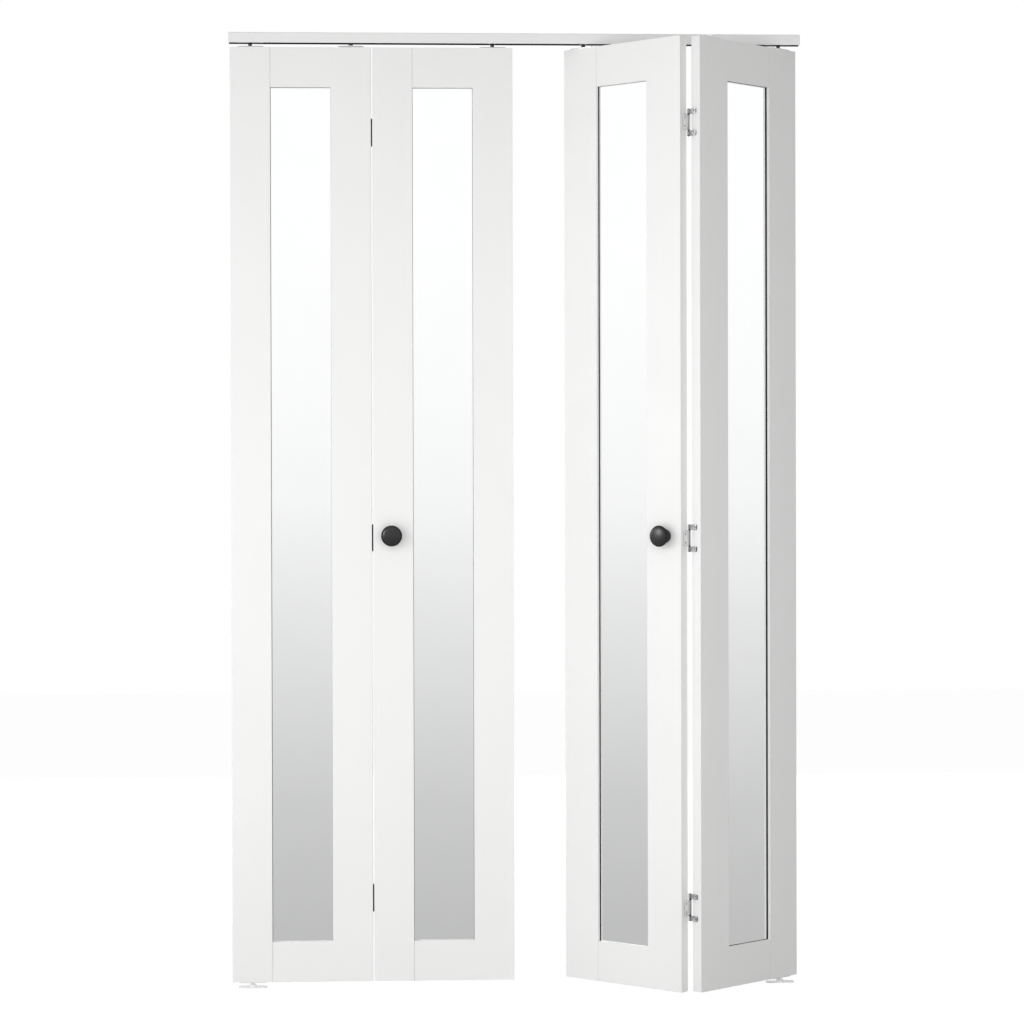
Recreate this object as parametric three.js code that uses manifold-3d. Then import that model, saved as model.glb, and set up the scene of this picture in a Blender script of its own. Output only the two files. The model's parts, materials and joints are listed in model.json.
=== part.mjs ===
// Bifold closet door: two pairs of framed mirror panels that fold along one overhead track.
// Millimetres, +Z up, +Y towards the closet, the viewer at -Y.
// The origin is the middle of the track's top face, where it meets the header.
import * as THREE from "three";
import { mergeVertices } from "three/addons/utils/BufferGeometryUtils.js";
import Module from "manifold-3d";

const wasm = await Module();
wasm.setup();

// Opening that the set fills
const openingWidth = 1219.2; // 48 in between the jambs
const openingHeight = 2032; // 80 in from floor to header
const jambGap = 3;
const meetingGap = 13.2; // between the two pairs when both are closed
const headGap = 9.5; // under the track, where the pivots and guides show
const floorGap = 12.7;

// Clearances
const seatGap = 0.3; // between pieces that touch
const runningGap = 0.4; // round a pin that turns or slides
const overrun = 5; // how far a cutter passes its face
const weldDistance = 1e-4;

// Track
const trackHeight = 22.2;
const trackDepth = 22.2;
const trackWall = 1.4;
const trackBend = 2.4; // outside radius of the folds
const trackScrewHole = 5;
const trackScrewInset = 100; // first hole from the end of the track
const trackScrewCount = 6;

// Door panel
const panelThickness = 24;
const stileWidth = 85;
const topRailWidth = 85;
const bottomRailWidth = 85;
const lipDepth = 6; // wood in front of the mirror
const rebateWidth = 7.5; // how far the lip covers the mirror
const outerEase = 1; // radius of the panel's long edges
const sightEase = 0.6; // radius along the mirror and the rail joints
const mirrorThickness = 4;
const boardThickness = 9;

// Hinges
const hingeGap = 3; // between the closed panels of a pair
const foldAxisOffset = 6; // hinge pin behind the panels' back faces
const leafHeight = 56;
const innerLeafHeight = 32;
const leafReach = 14.5; // how far a leaf covers the panel's edge
const leafCorner = 2;
const knuckleDiameter = 7.2;
const hingePinDiameter = 3.6;
const rivetHead = 0.8; // rise of the pin's peened ends
const leafScrewHole = 4;
const leafScrewInset = 5; // hole centre from the leaf's free edge
const innerLeafScrewSpacing = 18;
const topHingeDrop = 177.8; // centre below the panel's top
const middleHingeRise = 944.5; // centre above the panel's bottom
const bottomHingeRise = 174.5;

// Sprung hardware let into the panels' top edges
const pivotInset = 42.5; // pivot, guide and catch from the panel's edge
const plateLength = 57;
const plateWidth = 19;
const plateThickness = 2;
const plateCorner = 4;
const plateScrewHole = 4;
const plateScrewInset = 6; // hole centre from the plate's end
const housingDiameter = 15;
const housingDepth = 44;
const neckDepth = 4; // part of the housing that holds the collar down
const housingFloor = 2;
const pinDiameter = 8;
const collarDiameter = 11;
const collarHeight = 3;
const spigotDiameter = 5; // end of the pin that centres its spring
const spigotHeight = 5;
const pinEase = 1;

// Top pivot socket in the track
const socketLength = 60;
const socketHeight = 12;
const socketLift = 2; // above the track's lips
const socketCorner = 6;
const socketPinReach = 9; // how far the pin enters it
const clampScrewDiameter = 6;
const clampScrewInset = 12; // from the socket's end

// Guide roller in the track
const rollerDiameter = 17.8;
const rollerHeight = 6;
const rollerEase = 1.2;
const rollerLift = 1.7; // above the track's lips
const axleDiameter = 5.4;
const axleHeadDiameter = 9;
const axleHeadHeight = 1.5;

// Catch plunger under the track
const catchBodyLength = 52;
const catchBodyWidth = 15;
const catchBodyRise = 1.4; // raised middle of the catch's plate
const plungerDiameter = 10;
const plungerCollarDiameter = 12;

// Bottom pivot and floor bracket
const spigotLength = 40; // let into the panel's bottom
const bottomSpigotDiameter = 12;
const bracketLength = 60;
const bracketWidth = 22;
const bracketThickness = 2;
const bracketCorner = 5;
const bracketScrewHole = 4.5;
const bracketScrewInset = 7;
const cupDiameter = 15;
const cupHeight = 6; // above the floor
const cupPinReach = 3.6;

// Knob
const knobDiameter = 44.5;
const knobProjection = 32;
const knobDomeRise = 7;
const knobRimHeight = 3.5;
const knobNeckDiameter = 13;
const knobNeckLength = 9;
const knobFootDiameter = 17;
const knobFootHeight = 2;
const knobInset = 39; // centre from the lead door's hinge edge
const knobRise = 949; // centre above the panel's bottom

// How far each pair stands open, in degrees
const leftOpenAngle = 0;
const rightOpenAngle = 39.84;

// Facets
const pinSides = 16;
const holeSides = 8;
const rollerSides = 24;
const knobSides = 28;
const arcSteps = 3;

// Levels, worked out downwards from the header
const trackLip = -trackHeight;
const doorTop = trackLip - headGap;
const doorBottom = -openingHeight + floorGap;
const sightTop = doorTop - topRailWidth;
const sightBottom = doorBottom + bottomRailWidth;
const frontFace = -panelThickness / 2;
const backFace = panelThickness / 2;
const lipBack = frontFace + lipDepth;
const mirrorFront = lipBack + seatGap;
const boardFront = mirrorFront + mirrorThickness + seatGap;
const foldAxisY = backFace + foldAxisOffset;
const plateTop = doorTop + seatGap + plateThickness;
const socketBottom = trackLip + socketLift;
const rollerBottom = trackLip + rollerLift;
const hingeLevels = {
  top: doorTop - topHingeDrop,
  middle: doorBottom + middleHingeRise,
  bottom: doorBottom + bottomHingeRise,
};

// Places across a pair, from its pivot axis towards the middle of the opening
const pairWidth = (openingWidth - meetingGap) / 2 - jambGap;
const panelWidth = (pairWidth - hingeGap) / 2;
const pivotX = -openingWidth / 2 + jambGap + pivotInset;
const pivotDoorEdge = -pivotInset;
const pivotDoorHingeEdge = pivotDoorEdge + panelWidth;
const foldAxisX = pivotDoorHingeEdge + hingeGap / 2;
const catchX = pivotDoorHingeEdge - pivotInset;
const leadDoorHingeEdge = hingeGap / 2; // from the fold axis
const leadDoorFreeEdge = leadDoorHingeEdge + panelWidth;
const guideX = leadDoorFreeEdge - pivotInset;
const knobX = leadDoorHingeEdge + knobInset;

// Materials
const paint = new THREE.MeshStandardMaterial({ color: 0xf4f4f2, roughness: 0.45 });
const trackPaint = new THREE.MeshStandardMaterial({ color: 0xeeeeec, roughness: 0.35 });
const mirrorGlass = new THREE.MeshStandardMaterial({ color: 0xf2f5f5, roughness: 0.02, metalness: 1 });
const zincSteel = new THREE.MeshStandardMaterial({ color: 0x9a9a9c, roughness: 0.35, metalness: 0.9 });
const blackMetal = new THREE.MeshStandardMaterial({ color: 0x2b2b2b, roughness: 0.5, metalness: 0.2 });
const nylon = new THREE.MeshStandardMaterial({ color: 0xe6e4dc, roughness: 0.5 });

// A closed geometry as a solid that can be joined and cut.
function solidOf(shape) {
  if (!shape.isBufferGeometry) return shape;
  const bare = shape.clone();
  bare.deleteAttribute("normal");
  bare.deleteAttribute("uv");
  const merged = mergeVertices(bare, weldDistance);
  const vertProperties = new Float32Array(merged.attributes.position.array);
  const triVerts = new Uint32Array(merged.index.array);
  return new wasm.Manifold(new wasm.Mesh({ numProp: 3, vertProperties, triVerts }));
}

function join(first, ...others) {
  return others.reduce((sum, other) => sum.add(solidOf(other)), solidOf(first));
}

function cut(body, ...tools) {
  return tools.reduce((rest, tool) => rest.subtract(solidOf(tool)), solidOf(body));
}

// One named piece of the object from a geometry or a solid.
function piece(name, shape, material) {
  const mesh = solidOf(shape).getMesh();
  const geometry = new THREE.BufferGeometry();
  geometry.setAttribute("position", new THREE.BufferAttribute(mesh.vertProperties, 3));
  geometry.setIndex(new THREE.BufferAttribute(mesh.triVerts, 1));
  const faceted = geometry.toNonIndexed();
  faceted.computeVertexNormals();
  const made = new THREE.Mesh(faceted, material);
  made.name = name;
  return made;
}

// Shapes
// An outline through corners [x, y, radius], each rounded by its own radius.
function roundedOutline(corners) {
  const outline = new THREE.Shape();
  corners.forEach(([x, y, radius], i) => {
    const corner = new THREE.Vector2(x, y);
    const before = new THREE.Vector2(...corners[(i + corners.length - 1) % corners.length].slice(0, 2));
    const after = new THREE.Vector2(...corners[(i + 1) % corners.length].slice(0, 2));
    const enter = corner.clone().add(before.sub(corner).setLength(radius));
    const leave = corner.clone().add(after.sub(corner).setLength(radius));
    if (i === 0) outline.moveTo(enter.x, enter.y);
    else outline.lineTo(enter.x, enter.y);
    if (radius > 0) outline.quadraticCurveTo(x, y, leave.x, leave.y);
  });
  outline.closePath();
  return outline;
}

function rectangle(x0, x1, y0, y1, radius) {
  return roundedOutline([
    [x0, y0, radius],
    [x1, y0, radius],
    [x1, y1, radius],
    [x0, y1, radius],
  ]);
}

function roundHole(outline, x, y, diameter) {
  const hole = new THREE.Path();
  hole.absarc(x, y, diameter / 2, 0, 2 * Math.PI, true);
  outline.holes.push(hole);
}

// Outline in x and y, raised from z0 to z1.
function raised(outline, z0, z1, curveSegments = arcSteps) {
  const geometry = new THREE.ExtrudeGeometry(outline, { depth: z1 - z0, bevelEnabled: false, curveSegments });
  return geometry.translate(0, 0, z0);
}

// Outline in y and z, drawn out from x0 to x1.
function drawnOut(outline, x0, x1, curveSegments = arcSteps) {
  const geometry = raised(outline, x0, x1, curveSegments);
  const turn = new THREE.Matrix4().makeBasis(
    new THREE.Vector3(0, 1, 0),
    new THREE.Vector3(0, 0, 1),
    new THREE.Vector3(1, 0, 0),
  );
  return geometry.applyMatrix4(turn);
}

function box(x0, x1, y0, y1, z0, z1) {
  const geometry = new THREE.BoxGeometry(x1 - x0, y1 - y0, z1 - z0);
  return geometry.translate((x0 + x1) / 2, (y0 + y1) / 2, (z0 + z1) / 2);
}

// Round bar or bore along z.
function bar(diameter, x, y, z0, z1, sides = pinSides) {
  const geometry = new THREE.CylinderGeometry(diameter / 2, diameter / 2, z1 - z0, sides);
  return geometry.rotateX(Math.PI / 2).translate(x, y, (z0 + z1) / 2);
}

// Profile of [diameter, level] points turned about z, from the axis at the bottom to the axis at the top.
function turned(profile, sides = pinSides) {
  const points = profile.map(([diameter, level]) => new THREE.Vector2(diameter / 2, level));
  return new THREE.LatheGeometry(points, sides).rotateX(Math.PI / 2);
}

// Points of a quarter arc from [d0, z0], which leaves upright, to [d1, z1], which arrives level.
function quarterArc(d0, z0, d1, z1, steps = arcSteps) {
  return Array.from({ length: steps + 1 }, (_, i) => {
    const angle = (i / steps) * (Math.PI / 2);
    return [d1 + (d0 - d1) * Math.cos(angle), z0 + (z1 - z0) * Math.sin(angle)];
  });
}

// Track: a folded channel with screw holes in its web.
function makeTrack() {
  const half = trackDepth / 2;
  const inner = half - trackWall;
  const innerBend = Math.max(trackBend - trackWall, 0);
  const section = roundedOutline([
    [-half, trackLip, 0],
    [-inner, trackLip, 0],
    [-inner, -trackWall, innerBend],
    [inner, -trackWall, innerBend],
    [inner, trackLip, 0],
    [half, trackLip, 0],
    [half, 0, trackBend],
    [-half, 0, trackBend],
  ]);
  const channel = drawnOut(section, -openingWidth / 2, openingWidth / 2);
  const spacing = (openingWidth - 2 * trackScrewInset) / (trackScrewCount - 1);
  const holes = Array.from({ length: trackScrewCount }, (_, i) => {
    const x = -openingWidth / 2 + trackScrewInset + i * spacing;
    return bar(trackScrewHole, x, 0, -trackWall - overrun, overrun, holeSides);
  });
  return piece("track", cut(channel, ...holes), trackPaint);
}

// Top pivot socket: a block clamped in the channel, bored for the pivot pin. x from the pivot axis.
function makePivotSocket(side) {
  const halfWidth = trackDepth / 2 - trackWall - seatGap;
  const outline = rectangle(-socketLength / 2, socketLength / 2, -halfWidth, halfWidth, socketCorner);
  roundHole(outline, 0, 0, pinDiameter + 2 * runningGap);
  const block = raised(outline, socketBottom, socketBottom + socketHeight, pinSides / 4);
  const clampTop = -trackWall - seatGap;
  const clampBottom = socketBottom + socketHeight / 2;
  const clampXs = [-1, 1].map((end) => end * (socketLength / 2 - clampScrewInset));
  const clamps = clampXs.map((x) => bar(clampScrewDiameter, x, 0, clampBottom, clampTop, holeSides));
  return piece(side + "_pivot_socket", join(block, ...clamps), zincSteel);
}

// Floor bracket: a plate with a cup for the bottom pivot's pin.
function makeFloorBracket(side) {
  const floor = -openingHeight;
  const [halfLength, halfWidth] = [bracketLength / 2, bracketWidth / 2];
  const outline = rectangle(-halfLength, halfLength, -halfWidth, halfWidth, bracketCorner);
  for (const end of [-1, 1]) roundHole(outline, end * (halfLength - bracketScrewInset), 0, bracketScrewHole);
  const plate = raised(outline, floor, floor + bracketThickness);
  const cup = bar(cupDiameter, 0, 0, floor, floor + cupHeight);
  const boreBottom = floor + cupHeight - cupPinReach - seatGap;
  const bore = bar(pinDiameter + 2 * runningGap, 0, 0, boreBottom, floor + cupHeight + overrun);
  return piece(side + "_floor_bracket", cut(join(plate, cup), bore), trackPaint);
}

// A stile between its outer edge and its inner edge, rebated at the back for mirror and board.
function stileSolid(outerEdge, innerEdge) {
  const inwards = Math.sign(innerEdge - outerEdge);
  const section = roundedOutline([
    [outerEdge, frontFace, outerEase],
    [innerEdge, frontFace, sightEase],
    [innerEdge, lipBack, 0],
    [innerEdge - inwards * rebateWidth, lipBack, 0],
    [innerEdge - inwards * rebateWidth, backFace, sightEase],
    [outerEdge, backFace, outerEase],
  ]);
  return raised(section, doorBottom, doorTop);
}

// A rail between its outer level and the sight line, with laps that fill the stiles' rebates.
function railSolid(sightLeft, sightRight, outerLevel, sightLevel) {
  const outwards = Math.sign(outerLevel - sightLevel);
  const section = roundedOutline([
    [frontFace, outerLevel, outerEase],
    [frontFace, sightLevel, sightEase],
    [lipBack, sightLevel, 0],
    [lipBack, sightLevel + outwards * rebateWidth, 0],
    [backFace, sightLevel + outwards * rebateWidth, sightEase],
    [backFace, outerLevel, outerEase],
  ]);
  const lapLeft = sightLeft - rebateWidth + seatGap;
  const lapRight = sightRight + rebateWidth - seatGap;
  const low = Math.min(outerLevel, sightLevel) - overrun;
  const high = Math.max(outerLevel, sightLevel) + overrun;
  const lapFront = lipBack + seatGap;
  const shoulders = [
    [lapLeft - overrun, sightLeft + seatGap],
    [sightRight - seatGap, lapRight + overrun],
  ].map(([x0, x1]) => box(x0, x1, frontFace - overrun, lapFront, low, high));
  return cut(drawnOut(section, lapLeft, lapRight), ...shoulders);
}

// Frame, mirror and back board of one panel that starts at startX.
// bores lists [x, diameter, z0, z1] holes for the hardware let into it.
function addPanel(group, prefix, startX, stileNames, bores) {
  const endX = startX + panelWidth;
  const sightLeft = startX + stileWidth;
  const sightRight = endX - stileWidth;
  const stiles = [stileSolid(startX, sightLeft), stileSolid(endX, sightRight)];
  stiles.forEach((stile, i) => {
    const middle = (startX + endX) / 2;
    const own = bores.filter(([x]) => (i === 0 ? x < middle : x > middle));
    const holes = own.map(([x, diameter, z0, z1]) => bar(diameter, x, 0, z0, z1));
    group.add(piece(prefix + stileNames[i], cut(stile, ...holes), paint));
  });
  group.add(piece(prefix + "top_rail", railSolid(sightLeft, sightRight, doorTop, sightTop), paint));
  group.add(piece(prefix + "bottom_rail", railSolid(sightLeft, sightRight, doorBottom, sightBottom), paint));
  const paneInset = rebateWidth - seatGap;
  const pane = [sightLeft - paneInset, sightRight + paneInset, sightBottom - paneInset, sightTop + paneInset];
  const [paneLeft, paneRight, paneBottom, paneTop] = pane;
  const mirror = box(paneLeft, paneRight, mirrorFront, mirrorFront + mirrorThickness, paneBottom, paneTop);
  const board = box(paneLeft, paneRight, boardFront, boardFront + boardThickness, paneBottom, paneTop);
  group.add(piece(prefix + "mirror", mirror, mirrorGlass));
  group.add(piece(prefix + "back_board", board, paint));
}

// Bore in the panel's top for a housing at x.
function housingBore(x) {
  return [x, housingDiameter + 2 * seatGap, doorTop - housingDepth - seatGap, doorTop + overrun];
}

// Bore in the panel's bottom for the bottom pivot's spigot.
function spigotBore(x) {
  return [x, bottomSpigotDiameter + 2 * seatGap, doorBottom - overrun, doorBottom + spigotLength + seatGap];
}

function screwPlate(z0, z1) {
  const outline = rectangle(-plateLength / 2, plateLength / 2, -plateWidth / 2, plateWidth / 2, plateCorner);
  for (const end of [-1, 1]) roundHole(outline, end * (plateLength / 2 - plateScrewInset), 0, plateScrewHole);
  return raised(outline, z0, z1);
}

// A plate on the panel's top with a tube below it. A neck at the tube's mouth holds the pin's collar down.
function housingSolid(boreDiameter, cavityDiameter, ...extras) {
  const bottom = doorTop - housingDepth;
  const plate = screwPlate(doorTop + seatGap, plateTop);
  const tube = bar(housingDiameter, 0, 0, bottom, doorTop + seatGap + plateThickness / 2);
  const mouth = bar(boreDiameter, 0, 0, doorTop - neckDepth - overrun, plateTop + overrun);
  const cavity = bar(cavityDiameter, 0, 0, bottom + housingFloor, doorTop - neckDepth);
  return cut(join(plate, tube, ...extras), mouth, cavity);
}

// Spring spigot and collar of a pin that a housing's neck holds, as the lower part of its profile.
function collarProfile(diameter) {
  const collarTop = doorTop - neckDepth - seatGap;
  const collarBottom = collarTop - collarHeight;
  return [
    [0, collarBottom - spigotHeight],
    [spigotDiameter, collarBottom - spigotHeight],
    [spigotDiameter, collarBottom],
    [diameter, collarBottom],
    [diameter, collarTop],
  ];
}

function makeHousing(name) {
  const solid = housingSolid(pinDiameter + 2 * runningGap, collarDiameter + 2 * runningGap);
  return piece(name, solid, zincSteel);
}

function makeTopPivotPin(name) {
  const pinTop = socketBottom + socketPinReach;
  const tip = quarterArc(pinDiameter, pinTop - pinEase, pinDiameter - 2 * pinEase, pinTop);
  const collar = collarProfile(collarDiameter);
  const neck = [pinDiameter, doorTop - neckDepth - seatGap];
  return piece(name, turned([...collar, neck, ...tip, [0, pinTop]]), zincSteel);
}

// Guide pin: its upper part is the roller's axle, with a head that keeps the roller on.
function makeGuidePin(name) {
  const shoulder = rollerBottom - seatGap;
  const headBottom = rollerBottom + rollerHeight + seatGap;
  const headTop = headBottom + axleHeadHeight;
  const profile = [
    ...collarProfile(collarDiameter),
    [pinDiameter, doorTop - neckDepth - seatGap],
    [pinDiameter, shoulder],
    [axleDiameter, shoulder],
    [axleDiameter, headBottom],
    [axleHeadDiameter, headBottom],
    [axleHeadDiameter, headTop],
    [0, headTop],
  ];
  return piece(name, turned(profile), zincSteel);
}

function makeGuideRoller(name) {
  const bore = axleDiameter + 2 * runningGap;
  const top = rollerBottom + rollerHeight;
  const outside = rollerDiameter - 2 * rollerEase;
  const lower = quarterArc(rollerDiameter, rollerBottom + rollerEase, outside, rollerBottom).reverse();
  const upper = quarterArc(rollerDiameter, top - rollerEase, outside, top);
  const profile = [[bore, rollerBottom], ...lower, ...upper, [bore, top], [bore, rollerBottom]];
  return piece(name, turned(profile, rollerSides), nylon);
}

function makeCatchHousing(name) {
  const outline = rectangle(
    -catchBodyLength / 2,
    catchBodyLength / 2,
    -catchBodyWidth / 2,
    catchBodyWidth / 2,
    plateCorner,
  );
  const body = raised(outline, plateTop - plateThickness / 2, plateTop + catchBodyRise);
  const solid = housingSolid(
    plungerDiameter + 2 * runningGap,
    plungerCollarDiameter + 2 * runningGap,
    body,
  );
  return piece(name, solid, zincSteel);
}

function makeCatchPlunger(name) {
  const crown = trackLip - seatGap;
  const collar = collarProfile(plungerCollarDiameter);
  const shaft = [plungerDiameter, doorTop - neckDepth - seatGap];
  const dome = quarterArc(plungerDiameter, crown - plungerDiameter / 2, 0, crown, 2 * arcSteps);
  return piece(name, turned([...collar, shaft, ...dome]), zincSteel);
}

// Bottom pivot: spigot in the panel, plate under it, and the pin that stands in the floor cup.
function makeBottomPivot(name) {
  const plateLow = doorBottom - seatGap - plateThickness;
  const plateMiddle = plateLow + plateThickness / 2;
  const pinBottom = -openingHeight + cupHeight - cupPinReach;
  const plate = screwPlate(plateLow, doorBottom - seatGap);
  const spigot = bar(bottomSpigotDiameter, 0, 0, plateMiddle, doorBottom + spigotLength);
  const tip = quarterArc(pinDiameter, pinBottom + pinEase, pinDiameter - 2 * pinEase, pinBottom).reverse();
  const pin = turned([[0, pinBottom], ...tip, [pinDiameter, plateMiddle], [0, plateMiddle]]);
  return piece(name, join(plate, spigot, pin), trackPaint);
}

// A leaf's plate in the gap between the closed panels, centred on x, with screw holes at the given levels.
function leafPlate(z0, z1, holeLevels) {
  const freeEdge = backFace - leafReach;
  const corners = [
    [freeEdge, z0, leafCorner],
    [foldAxisY, z0, 0],
    [foldAxisY, z1, 0],
    [freeEdge, z1, leafCorner],
  ];
  const outline = roundedOutline(corners);
  for (const level of holeLevels) roundHole(outline, freeEdge + leafScrewInset, level, leafScrewHole);
  const halfThickness = hingeGap / 2 - seatGap;
  return drawnOut(outline, -halfThickness, halfThickness);
}

// Outer leaf: two tabs with their knuckles, joined by the hinge pin riveted through them.
function makeOuterLeaf(name, level) {
  const tabStart = innerLeafHeight / 2 + seatGap;
  const tabEnd = leafHeight / 2;
  const ends = [-1, 1].flatMap((end) => {
    const [low, high] = [level + end * tabStart, level + end * tabEnd].sort((a, b) => a - b);
    return [leafPlate(low, high, [(low + high) / 2]), bar(knuckleDiameter, 0, foldAxisY, low, high)];
  });
  const pinLow = level - tabEnd - rivetHead;
  const pin = bar(hingePinDiameter, 0, foldAxisY, pinLow, level + tabEnd + rivetHead, holeSides);
  return piece(name, join(pin, ...ends), zincSteel);
}

// Inner leaf: one plate and its knuckle, which nest between the outer leaf's tabs and turn on its pin.
function makeInnerLeaf(name, level) {
  const low = level - innerLeafHeight / 2;
  const high = level + innerLeafHeight / 2;
  const halfSpacing = innerLeafScrewSpacing / 2;
  const plate = leafPlate(low, high, [level - halfSpacing, level + halfSpacing]);
  const knuckle = bar(knuckleDiameter, 0, foldAxisY, low, high);
  const boreDiameter = hingePinDiameter + 2 * runningGap;
  const bore = bar(boreDiameter, 0, foldAxisY, low - overrun, high + overrun, holeSides);
  return piece(name, cut(join(plate, knuckle), bore), zincSteel);
}

// Knob turned about z with its foot at zero, then laid over to face the viewer.
function makeKnob(name) {
  const rimBack = knobProjection - knobDomeRise - knobRimHeight;
  const dome = quarterArc(knobDiameter, knobProjection - knobDomeRise, 0, knobProjection, 3 * arcSteps);
  const profile = [
    [0, 0],
    [knobFootDiameter, 0],
    [knobFootDiameter, knobFootHeight],
    [knobNeckDiameter, knobFootHeight + knobFootHeight],
    [knobNeckDiameter, knobNeckLength],
    [knobDiameter - knobRimHeight, rimBack],
    [knobDiameter, rimBack + knobRimHeight / 2],
    ...dome,
  ];
  const knob = turned(profile, knobSides).rotateX(Math.PI / 2);
  return piece(name, knob.translate(knobX, frontFace - seatGap, doorBottom + knobRise), blackMetal);
}

function placed(mesh, x) {
  mesh.position.x = x;
  return mesh;
}

// The panel beside the jamb. Its x starts at the pivot axis.
function makePivotDoor(side) {
  const door = new THREE.Group();
  const bores = [housingBore(0), housingBore(catchX), spigotBore(0)];
  addPanel(door, side + "_pivot_door_", pivotDoorEdge, ["jamb_stile", "hinge_stile"], bores);
  door.add(makeHousing(side + "_top_pivot_housing"));
  door.add(makeTopPivotPin(side + "_top_pivot_pin"));
  door.add(makeBottomPivot(side + "_bottom_pivot"));
  door.add(placed(makeCatchHousing(side + "_catch_housing"), catchX));
  door.add(placed(makeCatchPlunger(side + "_catch_plunger"), catchX));
  for (const [place, level] of Object.entries(hingeLevels)) {
    door.add(placed(makeOuterLeaf(side + "_outer_hinge_leaf_" + place, level), foldAxisX));
  }
  return door;
}

// The panel that runs in the track. Its x starts at the fold axis.
function makeLeadDoor(side) {
  const door = new THREE.Group();
  const prefix = side + "_lead_door_";
  addPanel(door, prefix, leadDoorHingeEdge, ["hinge_stile", "free_stile"], [housingBore(guideX)]);
  door.add(placed(makeHousing(side + "_guide_housing"), guideX));
  door.add(placed(makeGuidePin(side + "_guide_pin"), guideX));
  door.add(placed(makeGuideRoller(side + "_guide_roller"), guideX));
  for (const [place, level] of Object.entries(hingeLevels)) {
    door.add(makeInnerLeaf(side + "_inner_hinge_leaf_" + place, level));
  }
  door.add(makeKnob(side + "_knob"));
  return door;
}

// A folding pair on its pivot. Opening swings the fold out, and the guide stays under the track.
function makePair(side, openAngle) {
  const turn = THREE.MathUtils.degToRad(openAngle);
  const pivot = new THREE.Group();
  pivot.rotation.z = -turn;
  pivot.add(makePivotDoor(side));

  const fold = new THREE.Group();
  fold.position.set(foldAxisX, foldAxisY, 0);
  fold.rotation.z = 2 * turn;
  const leadDoor = makeLeadDoor(side);
  leadDoor.position.y = -foldAxisY;
  fold.add(leadDoor);
  pivot.add(fold);

  const pair = new THREE.Group();
  pair.position.x = pivotX;
  pair.add(pivot, makePivotSocket(side), makeFloorBracket(side));
  return pair;
}

const closetDoor = new THREE.Group();
closetDoor.add(makeTrack());
closetDoor.add(makePair("left", leftOpenAngle));

// The right pair is the left one mirrored across the opening.
const rightSide = new THREE.Group();
rightSide.scale.x = -1;
rightSide.add(makePair("right", rightOpenAngle));
closetDoor.add(rightSide);

export default closetDoor;
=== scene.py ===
"""Looks of the bifold closet door: two pairs of framed mirror panels that fold along one overhead track.

Metres, +Z up, +Y towards the closet, the viewer at -Y. A piece of the doors' hardware is made where it
stands on the closed left pair. The right pair's copy is its mirror image, folded to where the frame
has it at rest.
"""
import json
import math
from functools import lru_cache

import bmesh
import bpy
from mathutils import Matrix, Vector


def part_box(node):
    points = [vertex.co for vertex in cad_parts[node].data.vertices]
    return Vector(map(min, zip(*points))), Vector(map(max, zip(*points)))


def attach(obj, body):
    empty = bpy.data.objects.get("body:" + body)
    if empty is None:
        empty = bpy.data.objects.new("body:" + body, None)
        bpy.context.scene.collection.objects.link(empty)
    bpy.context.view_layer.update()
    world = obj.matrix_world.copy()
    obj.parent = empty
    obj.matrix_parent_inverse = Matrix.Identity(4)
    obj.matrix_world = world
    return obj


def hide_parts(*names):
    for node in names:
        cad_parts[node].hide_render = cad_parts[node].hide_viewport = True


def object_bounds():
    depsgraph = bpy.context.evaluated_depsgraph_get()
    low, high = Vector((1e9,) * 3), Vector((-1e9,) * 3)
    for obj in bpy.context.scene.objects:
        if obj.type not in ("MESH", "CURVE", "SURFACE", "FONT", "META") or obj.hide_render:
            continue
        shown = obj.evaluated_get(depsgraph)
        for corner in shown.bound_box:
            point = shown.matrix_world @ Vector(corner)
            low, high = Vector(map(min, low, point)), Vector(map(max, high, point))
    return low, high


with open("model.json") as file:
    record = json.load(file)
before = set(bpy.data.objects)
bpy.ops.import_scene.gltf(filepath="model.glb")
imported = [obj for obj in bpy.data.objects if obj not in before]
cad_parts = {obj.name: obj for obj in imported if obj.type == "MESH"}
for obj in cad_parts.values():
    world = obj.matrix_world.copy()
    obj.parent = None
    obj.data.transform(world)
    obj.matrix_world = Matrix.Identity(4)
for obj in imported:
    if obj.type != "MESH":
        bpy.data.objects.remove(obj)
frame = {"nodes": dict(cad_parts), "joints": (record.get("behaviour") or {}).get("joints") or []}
cad_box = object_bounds()

# Camera, found from the straight edges of the photograph
CAMERA_PLACE = Vector((-0.22503, -5.37849, -0.98253))
CAMERA_YAW = math.radians(-2.299)
CAMERA_PITCH = math.radians(-0.403)
CAMERA_ROLL = math.radians(-0.139)
CAMERA_LENS = 88.52
CAMERA_SENSOR = 36

# Studio
KEY_DISTANCE = 2.17
KEY_AZIMUTH = math.radians(17.4)  # left of straight ahead
KEY_LEVEL = -1.015
KEY_WIDTH = 6
KEY_HEIGHT = 2.2
KEY_POWER = 63
SHEEN_PLACE = Vector((-3.2, -1.75, 0.04))
SHEEN_TARGET = Vector((0.25, -0.1, -1))
SHEEN_SIZE = 1.2
SHEEN_POWER = 78
BACK_PLACE = Vector((0, 4, -0.8))
BACK_WIDTH = 4
BACK_HEIGHT = 2.4
BACK_POWER = 95
AMBIENT = 0.407
AMBIENT_FROM_LEFT = 0.16  # added on the left and taken away on the right
REFLECTED_WHITE = 1.02
REFLECTED_LOW = -0.17  # how steeply reflections look up at the first and the last of their tones
REFLECTED_HIGH = 0.1
# Tones of the floor, the wall and the ceiling in reflections: (share of the way up, brightness)
REFLECTED_TONES = ((0, 0.52), (0.18, 0.6), (0.45, 0.79), (0.62, 0.922), (0.8, 0.972), (1, 1))
FLOOR_GLOW = 0.93  # what the camera sees of the floor without any light on it
FLOOR_SHOWN = 0.13  # what light and shadow add for the camera
FLOOR_BOUNCE = 0.6
FLOOR_SIZE = 16

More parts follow.
